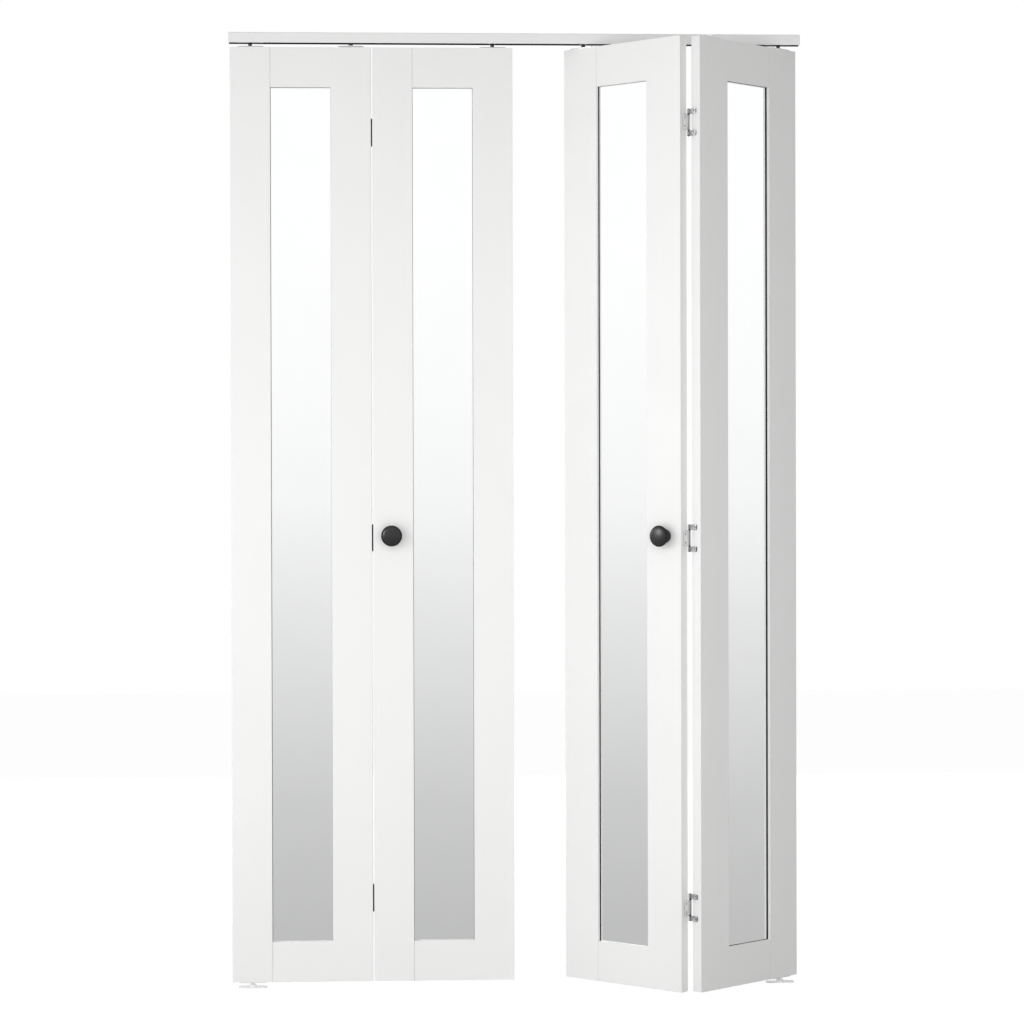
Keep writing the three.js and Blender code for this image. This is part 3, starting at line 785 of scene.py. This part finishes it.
def add_mirror(side, door):
    """Silvered pane in its rebate, the dark seal along its edges, partly painted shade, and the painted
    liner.
    """
    low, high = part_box("left_" + door + "_mirror")
    opening_low, opening_high = sight_opening(door)
    silver = low.y + MIRROR_SINK
    seal_back = silver + SEAL_OVERLAP
    liner_back = low.y + LINER_DEPTH[door]
    left_shown, right_shown, bottom_shown = SEAL_SHOWN[side][door]
    if side == "right":
        left_shown, right_shown = right_shown, left_shown
    left_end = opening_low.x + left_shown
    right_end = opening_high.x - right_shown
    # dark seal: partly the glass's dark edge, partly painted shade of the rebate's walls
    seals = [
        box((low.x, liner_back, low.z), (left_end, seal_back, high.z)),
        box((right_end, liner_back, low.z), (high.x, seal_back, high.z)),
        box((left_end, liner_back, opening_high.z), (right_end, seal_back, high.z)),
    ]
    bottom_back = silver
    if bottom_shown:
        bottom_back = liner_back
        seals.append(box((left_end, liner_back, low.z), (right_end, seal_back, opening_low.z + bottom_shown)))
    pane = box((low.x, silver, low.z), high)
    parts = in_place(pane, *[marked(seal, 1) for seal in seals])
    add_piece(side, door + "_mirror_pane", parts, [silvering, dark_seal_and_shade], door, door + "_mirror")

    strips = in_place(
        box(low, (opening_low.x, liner_back, high.z)),
        box((opening_high.x, low.y, low.z), (high.x, liner_back, high.z)),
        box((opening_low.x, low.y, opening_high.z), (opening_high.x, liner_back, high.z)),
        box((opening_low.x, low.y, low.z), (opening_high.x, bottom_back, opening_low.z)),
    )
    add_piece(side, door + "_rebate_liner", strips, [stile_paint], door)


def add_joints(side, door):
    """Lines where rails meet stiles: on one side open with a dark strip of painted shade, on the other filled
    with paint.
    """
    opening_low, opening_high = sight_opening(door)
    strips = []
    for x, inwards in ((opening_low.x, 1), (opening_high.x, -1)):
        shoulder = x + inwards * JOINT_GAP
        on_viewers_left = (inwards > 0) == (side == "left")
        is_shaded = on_viewers_left != ((side, door) == SHADED_JOINT_ON_RIGHT)
        # the dark strip in an open joint is painted shade
        start, sink, material_index = x, JOINT_SINK, 1
        if not is_shaded:
            start, sink, material_index = shoulder - inwards * BEAD_WIDTH, BEAD_SINK, 0
        left, right = sorted((start, shoulder))
        for rail in ("_bottom_rail", "_top_rail"):
            low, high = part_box("left_" + door + rail)
            strip = box((left, low.y + sink, low.z), (right, low.y + JOINT_DEPTH, high.z))
            strips.append(marked(strip, material_index))
    add_piece(side, door + "_joint_lines", in_place(*strips), [rail_paint, dark_seal_and_shade], door)


def knob_profile(projection, radius):
    """Foot, flared back, rounded rim and low dome of the knob, from its foot outwards."""
    foot = KNOB_FOOT_DIAMETER / 2
    rim_radius = KNOB_RIM_HEIGHT / 2
    rim_level = projection - KNOB_DOME_RISE - rim_radius
    profile = [(0, 0), (foot, 0), (foot, KNOB_FOOT_HEIGHT)]
    profile += arc(radius - rim_radius, rim_level, rim_radius, KNOB_RIM_START, KNOB_RIM_END)
    dome_radius, dome_start = profile[-1]
    steps = 2 * ARC_STEPS
    for i in range(1, steps):
        angle = math.radians(90 * i / steps)
        height = dome_start + (projection - dome_start) * math.sin(angle)
        profile.append((dome_radius * math.cos(angle), height))
    return profile + [(0, projection)]


def add_knob(side):
    low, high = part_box("left_knob")
    x, radius, half_projection = plan_of(low, high)
    z = (low.z + high.z) / 2
    projection = 2 * half_projection
    shape = turned(knob_profile(projection, radius), 2 * ROUND_SIDES)
    rim_top = projection - KNOB_DOME_RISE * KNOB_RIM_SHARE
    # faces below rim_top get the rim's coat of painted shade
    for face in shape.faces:
        face.material_index = 1 if face.calc_center_median().z < rim_top else 0
    parts = [(shape, moved(x, high.y, z) @ FACING_VIEWER)]
    add_piece(side, "turned_knob", parts, [knob_coat, knob_rim_shade_coat], "lead_door", "knob")
    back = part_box("left_lead_door_hinge_stile")[1].y
    head = screw(KNOB_SCREW_HEAD, PAN_RISE, PAN_RISE / 2)
    add_piece(side, "knob_screw", [(head, moved(x, back, z) @ FACING_CLOSET)], [screw_zinc], "lead_door")


def leaf_plate(free_edge, low, high, thickness, hole_levels):
    """Flat of a leaf, up to the fold axis. The second material is for its dark cut edges, bare steel darkened
    further as painted shade.
    """
    holes = [(free_edge + LEAF_SCREW_INSET, level, LEAF_SCREW) for level in hole_levels]
    flat = plate(free_edge, fold_axis.y, low, high, LEAF_CORNER, thickness, LEAF_EDGE, holes)
    flat.normal_update()
    for face in flat.faces:
        face.material_index = 1 if abs(face.normal.z) < CUT_EDGE_TILT else 0
    return flat, moved(fold_axis.x - thickness / 2, 0, 0) @ UPRIGHT


def knuckle_parts(shape, radius, low, high, seam_angle):
    """Knuckle on the fold axis with dark rounded ends, and the dark seam of the sheet rolled into it; the
    dark is painted shade.
    """
    for face in shape.faces:
        level = face.calc_center_median().z
        face.material_index = 1 if level < low + KNUCKLE_EDGE or level > high - KNUCKLE_EDGE else 0
    seam_low = (radius - SEAM_DEPTH, -SEAM_WIDTH / 2, low + KNUCKLE_EDGE)
    seam_high = (radius + SEAM_RISE, SEAM_WIDTH / 2, high - KNUCKLE_EDGE)
    seam = marked(box(seam_low, seam_high), 1)
    on_axis = moved(fold_axis.x, fold_axis.y, 0)
    return [(shape, on_axis), (seam, on_axis @ Matrix.Rotation(seam_angle, 4, "Z"))]


def add_hinge(side, place):
    """Hinge of two nested leaves: the outer one's tabs and pin, and the inner one between the tabs."""
    outer_low, outer_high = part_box("left_outer_hinge_leaf_" + place)
    inner_low, inner_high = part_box("left_inner_hinge_leaf_" + place)
    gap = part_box("left_lead_door_hinge_stile")[0].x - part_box("left_pivot_door_hinge_stile")[1].x
    thickness = gap - 2 * LEAF_SIDE_CLEARANCE
    radius = plan_of(outer_low, outer_high)[1]
    level = (inner_low.z + inner_high.z) / 2
    screw_y = outer_low.y + LEAF_SCREW_INSET
    face = thickness / 2
    size = (LEAF_SCREW, 0, face)

    tabs = []
    spots = []
    for low, high in (
        (outer_low.z + RIVET_RISE, inner_low.z - KNUCKLE_GAP),
        (inner_high.z + KNUCKLE_GAP, outer_high.z - RIVET_RISE),
    ):
        middle = (low + high) / 2
        tabs.append(leaf_plate(outer_low.y, low, high, thickness, [middle]))
        tabs += knuckle_parts(rod(radius, low, high, KNUCKLE_EDGE), radius, low, high, OUTER_SEAM)
        spots.append(moved(fold_axis.x + face, screw_y, middle) @ FACING_RIGHT)
    pin = rod(HINGE_PIN / 2, outer_low.z, outer_high.z, RIVET_RISE)
    tabs.append((marked(pin, 2), moved(fold_axis.x, fold_axis.y, 0)))
    add_piece(side, "hinge_tabs_" + place, tabs, [leaf_zinc, cut_edge_and_shade, pin_steel_and_shade], "pivot_door",
              "outer_hinge_leaf_" + place)
    add_screws(side, "tab_screw_" + place, spots, size, "pivot_door")

    low, high = inner_low.z, inner_high.z
    levels = [level + offset for offset in both_ends(INNER_LEAF_SCREW_SPACING / 2, 0)]
    flat, flat_place = leaf_plate(inner_low.y, low, high, thickness, levels)
    # this pair's inner leaves carry no painted shade on their cut edges
    if side == UNSHADED_EDGE_SIDE:
        marked(flat, 0)
    barrel = tube(radius, HINGE_PIN / 2 + RUNNING_GAP, low, high, KNUCKLE_EDGE)
    leaf = [(flat, flat_place)] + knuckle_parts(barrel, radius, low, high, INNER_SEAM)
    add_piece(side, "hinge_leaf_" + place, leaf, [bright_zinc, cut_edge_and_shade], "lead_door",
              "inner_hinge_leaf_" + place)
    spots = [moved(fold_axis.x - face, screw_y, screw_level) @ FACING_LEFT for screw_level in levels]
    add_screws(side, "leaf_screw_" + place, spots, size, "lead_door")


def add_plate_screws(side, door, label, x, z, half_length, facing, finish=screw_zinc):
    """The two screws that hold a plate to the panel's end."""
    spots = [moved(x + offset, 0, z) @ facing for offset in both_ends(half_length, PLATE_SCREW_INSET)]
    add_screws(side, label + "_screw", spots, [PLATE_SCREW], door, finish)


def add_pin_housing(side, door, label, node):
    """Plate on the panel's top, and the tube below it that the sprung pin slides in."""
    low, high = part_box("left_" + node)
    x, half_length, half_width = plan_of(low, high)
    bore = PIN_DIAMETER / 2 + RUNNING_GAP
    plate_low = high.z - PLATE_THICKNESS
    holes = [(0, 2 * bore)] + [(offset, PLATE_SCREW) for offset in both_ends(half_length, PLATE_SCREW_INSET)]
    parts = [
        (flat_plate(half_length, half_width, holes), moved(x, 0, plate_low)),
        (tube(TUBE_DIAMETER / 2, bore, low.z, plate_low + PLATE_EDGE, PLATE_EDGE), moved(x, 0, 0)),
    ]
    add_piece(side, label, parts, [plate_zinc], door, node)
    add_plate_screws(side, door, label, x, high.z, half_length, FACING_UP)


def add_catch(side):
    """Catch let into the top of the pivot door: plate, raised body and sprung plunger."""
    low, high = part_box("left_catch_housing")
    plunger_low, plunger_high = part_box("left_catch_plunger")
    x, half_length, half_width = plan_of(low, high)
    plate_top = high.z - CATCH_BODY_RISE
    radius = PLUNGER_DIAMETER / 2
    bore = radius + RUNNING_GAP
    body_x = CATCH_BODY_LENGTH / 2
    body_y = CATCH_BODY_WIDTH / 2
    rise = CATCH_BODY_RISE + PLATE_EDGE
    raised = plate(-body_x, body_x, -body_y, body_y, PLATE_CORNER, rise, CATCH_BODY_EDGE, [(0, 0, 2 * bore)])
    parts = [
        (flat_plate(half_length, half_width, [(0, 2 * bore)]), moved(x, 0, plate_top - PLATE_THICKNESS)),
        (raised, moved(x, 0, plate_top - PLATE_EDGE)),
        (tube(TUBE_DIAMETER / 2, bore, low.z, plate_top - PLATE_EDGE, PLATE_EDGE), moved(x, 0, 0)),
    ]
    add_piece(side, "catch_body", parts, [plate_zinc], "pivot_door", "catch_housing")
    crown = arc(0, plunger_high.z - radius, radius, 0, 90, 2 * ARC_STEPS)[:-1] + [(0, plunger_high.z)]
    plunger = turned([(0, plunger_low.z), (radius, plunger_low.z)] + crown)
    add_piece(side, "catch_ball", [(plunger, moved(x, 0, 0))], [bright_zinc], "pivot_door",
              "catch_plunger", "catch")


def collar_profile(low):
    """Spring spigot and collar at the lower end of a sprung pin, up to the pin's own shaft."""
    spigot = PIN_DIAMETER / 2 * SPIGOT_SHARE
    collar = COLLAR_DIAMETER / 2
    collar_low = low + SPIGOT_HEIGHT
    collar_high = collar_low + COLLAR_HEIGHT
    return [(0, low), (spigot, low), (spigot, collar_low), (collar, collar_low), (collar, collar_high),
            (PIN_DIAMETER / 2, collar_high)]


def add_pivot_pin(side):
    low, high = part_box("left_top_pivot_pin")
    x = plan_of(low, high)[0]
    tip = arc(PIN_DIAMETER / 2 - PIN_EDGE, high.z - PIN_EDGE, PIN_EDGE, 0, 90)
    pin = turned(collar_profile(low.z) + tip + [(0, high.z)])
    add_piece(side, "pivot_pin_turned", [(pin, moved(x, 0, 0))], [pin_steel_and_shade], "pivot_door", "top_pivot_pin",
              "pivot_pin")


def add_guide(side):
    """Guide pin with the roller that runs in the track."""
    low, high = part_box("left_guide_pin")
    roller_low, roller_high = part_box("left_guide_roller")
    x = plan_of(low, high)[0]
    radius = PIN_DIAMETER / 2
    axle = AXLE_DIAMETER / 2
    head = AXLE_HEAD_DIAMETER / 2
    seat = roller_low.z - ROLLER_CLEARANCE
    head_low = roller_high.z + ROLLER_CLEARANCE
    profile = collar_profile(low.z)
    profile += [(radius, seat - AXLE_EDGE), (radius - AXLE_EDGE, seat)]
    profile += [(axle, seat), (axle, head_low), (head, head_low)]
    profile += arc(head - AXLE_EDGE, high.z - AXLE_EDGE, AXLE_EDGE, 0, 90, RIM_STEPS) + [(0, high.z)]
    add_piece(side, "guide_pin_turned", [(turned(profile), moved(x, 0, 0))], [pin_steel_and_shade], "lead_door",
              "guide_pin", "guide")

    outside = plan_of(roller_low, roller_high)[1]
    bore = axle + RUNNING_GAP
    middle = (roller_low.z + roller_high.z) / 2
    ring = [(bore, roller_low.z)]
    ring += arc(outside - ROLLER_EDGE, roller_low.z + ROLLER_EDGE, ROLLER_EDGE, -90, 0)
    ring += [
        (outside, middle - ROLLER_GROOVE),
        (outside - ROLLER_GROOVE / 2, middle),
        (outside, middle + ROLLER_GROOVE),
    ]
    ring += arc(outside - ROLLER_EDGE, roller_high.z - ROLLER_EDGE, ROLLER_EDGE, 0, 90)
    ring += [(bore, roller_high.z), (bore, roller_low.z)]
    add_piece(side, "roller_tyre", [(turned(ring), moved(x, 0, 0))], [roller_nylon], "lead_door",
              "guide_roller", "roller")


def add_pivot_socket(side):
    """Block clamped in the track for the pivot pin, with its two clamp screws."""
    low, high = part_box("left_pivot_socket")
    half_length = plan_of(low, high)[1]
    clamp_xs = both_ends(half_length, CLAMP_SCREW_INSET)
    holes = [(0, 0, PIN_DIAMETER + 2 * RUNNING_GAP)] + [(x, 0, CLAMP_SCREW + RUNNING_GAP) for x in clamp_xs]
    block = plate(-half_length, half_length, low.y, high.y, SOCKET_CORNER, SOCKET_HEIGHT, SOCKET_EDGE, holes)
    parts = [(block, moved(pivot_axis.x, 0, low.z))]
    add_piece(side, "socket_block", parts, [plate_zinc], "fixed", "pivot_socket")
    length = high.z - low.z - CLAMP_SCREW_SINK
    spots = [moved(pivot_axis.x + x, 0, high.z - length) @ FACING_DOWN for x in clamp_xs]
    add_screws(side, "clamp_screw", spots, (CLAMP_SCREW, 0, length), "fixed")


def add_floor_bracket(side):
    low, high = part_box("left_floor_bracket")
    half_length, half_width = plan_of(low, high)[1:]
    screw_xs = both_ends(half_length, BRACKET_SCREW_INSET)
    flat = flat_plate(half_length, half_width, [(x, PLATE_SCREW) for x in screw_xs], BRACKET_CORNER)
    bore = PIN_DIAMETER / 2 + RUNNING_GAP
    rim = CUP_DIAMETER / 2
    top = CUP_HEIGHT
    cup_floor = top - CUP_DEPTH
    cup = [(0, PLATE_EDGE), (rim, PLATE_EDGE), (rim, PLATE_THICKNESS)]
    cup += arc(rim - PLATE_EDGE, top - PLATE_EDGE, PLATE_EDGE, 0, 90, RIM_STEPS)
    cup += [(bore + PLATE_EDGE, top), (bore, top - PLATE_EDGE), (bore, cup_floor), (0, cup_floor)]
    on_floor = moved(pivot_axis.x, 0, low.z)
    parts = [(flat, on_floor), (turned(cup), on_floor)]
    add_piece(side, "floor_cup", parts, [floor_paint], "fixed", "floor_bracket")
    spots = [moved(pivot_axis.x + x, 0, low.z + PLATE_THICKNESS) for x in screw_xs]
    add_screws(side, "floor_screw", spots, [PLATE_SCREW], "fixed", floor_paint)


def add_bottom_pivot(side):
    """Spigot in the panel, plate under it and the pin that stands in the floor cup."""
    low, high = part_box("left_bottom_pivot")
    half_length, half_width = plan_of(low, high)[1:]
    plate_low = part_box("left_pivot_door_jamb_stile")[0].z - PLATE_CLEARANCE - PLATE_THICKNESS
    holes = [(x, PLATE_SCREW) for x in both_ends(half_length, PLATE_SCREW_INSET)]
    radius = PIN_DIAMETER / 2
    pin = [(0, low.z)] + arc(radius - PIN_EDGE, low.z + PIN_EDGE, PIN_EDGE, -90, 0)
    pin += [(radius, plate_low + PLATE_EDGE), (SPIGOT_DIAMETER / 2, plate_low + PLATE_EDGE)]
    pin += [(SPIGOT_DIAMETER / 2, high.z), (0, high.z)]
    parts = [
        (flat_plate(half_length, half_width, holes), moved(pivot_axis.x, 0, plate_low)),
        (turned(pin), moved(pivot_axis.x, 0, 0)),
    ]
    add_piece(side, "bottom_pivot_turned", parts, [floor_paint], "pivot_door", "bottom_pivot")
    add_plate_screws(side, "pivot_door", "bottom_pivot", pivot_axis.x, plate_low, half_length, FACING_DOWN,
                     floor_paint)


def add_track_screws():
    low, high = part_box("track")
    spacing = (high.x - low.x - 2 * TRACK_SCREW_INSET) / (TRACK_SCREW_COUNT - 1)
    for number in range(TRACK_SCREW_COUNT):
        x = low.x + TRACK_SCREW_INSET + number * spacing
        made = screw(PAN_HEAD, PAN_RISE, WEB_THICKNESS)
        shape = assemble([(made, moved(x, 0, high.z - WEB_THICKNESS) @ FACING_DOWN)])
        add_object(f"track_screw_{number}", shape, [screw_zinc], "root")


# Studio
def make_world():
    """White behind the object, a soft even light on it, and a wall and floor tone for reflections."""
    world = bpy.data.worlds.new("studio")
    world.use_nodes = True
    tree = world.node_tree
    tree.nodes.clear()
    rays = add_node(tree, "ShaderNodeLightPath").outputs
    axes = axes_of(tree, add_node(tree, "ShaderNodeTexCoord").outputs["Generated"])
    steepness = ranged(tree, axes["Z"], 0, 1, REFLECTED_LOW, REFLECTED_HIGH)
    tone = add_node(tree, "ShaderNodeValToRGB", {"Fac": steepness})
    while len(tone.color_ramp.elements) < len(REFLECTED_TONES):
        tone.color_ramp.elements.new(0.5)
    for element, (share, level) in zip(tone.color_ramp.elements, REFLECTED_TONES):
        element.position = share
        element.color = (level, level, level, 1)
    sideways = ranged(tree, axes["X"], AMBIENT + AMBIENT_FROM_LEFT, AMBIENT - AMBIENT_FROM_LEFT, -1)
    ambient, reflected, white = [
        add_node(tree, "ShaderNodeBackground", {"Color": colour, "Strength": strength}).outputs[0]
        for colour, strength in ((WHITE, sideways), (tone.outputs["Color"], REFLECTED_WHITE), (WHITE, 1))
    ]
    current = ambient
    for ray, shown in (
        ("Is Glossy Ray", reflected),
        ("Is Transmission Ray", white),
        ("Is Camera Ray", white),
    ):
        current = add_node(tree, "ShaderNodeMixShader", {0: rays[ray], 1: current, 2: shown}).outputs[0]
    add_node(tree, "ShaderNodeOutputWorld", {"Surface": current})
    bpy.context.scene.world = world


def make_floor():
    """Pale floor that reads white where it is lit and keeps the object's soft shadow."""
    bm = bmesh.new()
    bmesh.ops.create_grid(bm, x_segments=1, y_segments=1, size=FLOOR_SIZE / 2)
    mesh = bpy.data.meshes.new("studio_floor")
    bm.to_mesh(mesh)
    bm.free()
    floor = bpy.data.objects.new("studio_floor", mesh)
    floor.location.z = cad_box[0][2]
    bpy.context.scene.collection.objects.link(floor)
    material = bpy.data.materials.new("studio floor")
    material.use_nodes = True
    tree = material.node_tree
    tree.nodes.clear()
    rays = add_node(tree, "ShaderNodeLightPath").outputs
    shown, lit = [
        add_node(tree, "ShaderNodeBsdfDiffuse", {"Color": toned(WHITE, level)}).outputs[0]
        for level in (FLOOR_SHOWN, FLOOR_BOUNCE)
    ]
    glow = add_node(tree, "ShaderNodeEmission", {"Strength": FLOOR_GLOW}).outputs[0]
    seen = add_node(tree, "ShaderNodeAddShader", {0: shown, 1: glow}).outputs[0]
    both = {0: rays["Is Camera Ray"], 1: lit, 2: seen}
    surface = add_node(tree, "ShaderNodeMixShader", both).outputs[0]
    add_node(tree, "ShaderNodeOutputMaterial", {"Surface": surface})
    mesh.materials.append(material)
    floor.visible_glossy = False


def make_softbox(name, place, towards, width, height, power):
    light = bpy.data.lights.new(name, "AREA")
    light.shape = "RECTANGLE"
    light.size = width
    light.size_y = height
    light.energy = power
    softbox = bpy.data.objects.new(name, light)
    softbox.location = place
    softbox.rotation_euler = towards.to_track_quat("-Z", "Y").to_euler()
    softbox.visible_camera = False
    bpy.context.scene.collection.objects.link(softbox)
    return softbox


def make_lights():
    """Wide softboxes across the front and the back, and a sheen on coats and knobs from the left."""
    ahead = Vector((math.sin(KEY_AZIMUTH), math.cos(KEY_AZIMUTH), 0))
    key_place = Vector((0, 0, KEY_LEVEL)) - KEY_DISTANCE * ahead
    key = make_softbox("key", key_place, ahead, KEY_WIDTH, KEY_HEIGHT, KEY_POWER)
    back = make_softbox("back", BACK_PLACE, Vector((0, -1, 0)), BACK_WIDTH, BACK_HEIGHT, BACK_POWER)
    for softbox in (key, back):
        softbox.visible_glossy = False
    towards = SHEEN_TARGET - SHEEN_PLACE
    sheen = make_softbox("sheen", SHEEN_PLACE, towards, SHEEN_SIZE, SHEEN_SIZE, SHEEN_POWER)
    sheen.visible_diffuse = False


def make_camera():
    data = bpy.data.cameras.new("camera")
    data.lens = CAMERA_LENS
    data.sensor_width = CAMERA_SENSOR
    camera = bpy.data.objects.new("camera", data)
    level = Vector((math.cos(CAMERA_YAW), math.sin(CAMERA_YAW), 0))
    forward = Vector((
        -math.sin(CAMERA_YAW) * math.cos(CAMERA_PITCH),
        math.cos(CAMERA_YAW) * math.cos(CAMERA_PITCH),
        math.sin(CAMERA_PITCH),
    ))
    upright = level.cross(forward)
    right = math.cos(CAMERA_ROLL) * level + math.sin(CAMERA_ROLL) * upright
    up = math.cos(CAMERA_ROLL) * upright - math.sin(CAMERA_ROLL) * level
    pose = Matrix((right, up, -forward)).transposed().to_4x4()
    pose.translation = CAMERA_PLACE
    camera.matrix_world = pose
    bpy.context.scene.collection.objects.link(camera)
    bpy.context.scene.camera = camera


make_camera()
make_world()
make_floor()
make_lights()

paint_frame_nodes()
add_track_screws()
for side in SIDES:
    for door in DOORS:
        add_mirror(side, door)
        add_joints(side, door)
    for place in HINGE_PLACES:
        add_hinge(side, place)
    add_knob(side)
    add_pin_housing(side, "pivot_door", "pivot_housing", "top_pivot_housing")
    add_pin_housing(side, "lead_door", "guide_housing_plate", "guide_housing")
    add_catch(side)
    add_pivot_pin(side)
    add_guide(side)
    add_pivot_socket(side)
    add_floor_bracket(side)
    add_bottom_pivot(side)

bpy.context.scene.view_settings.view_transform = "Standard"
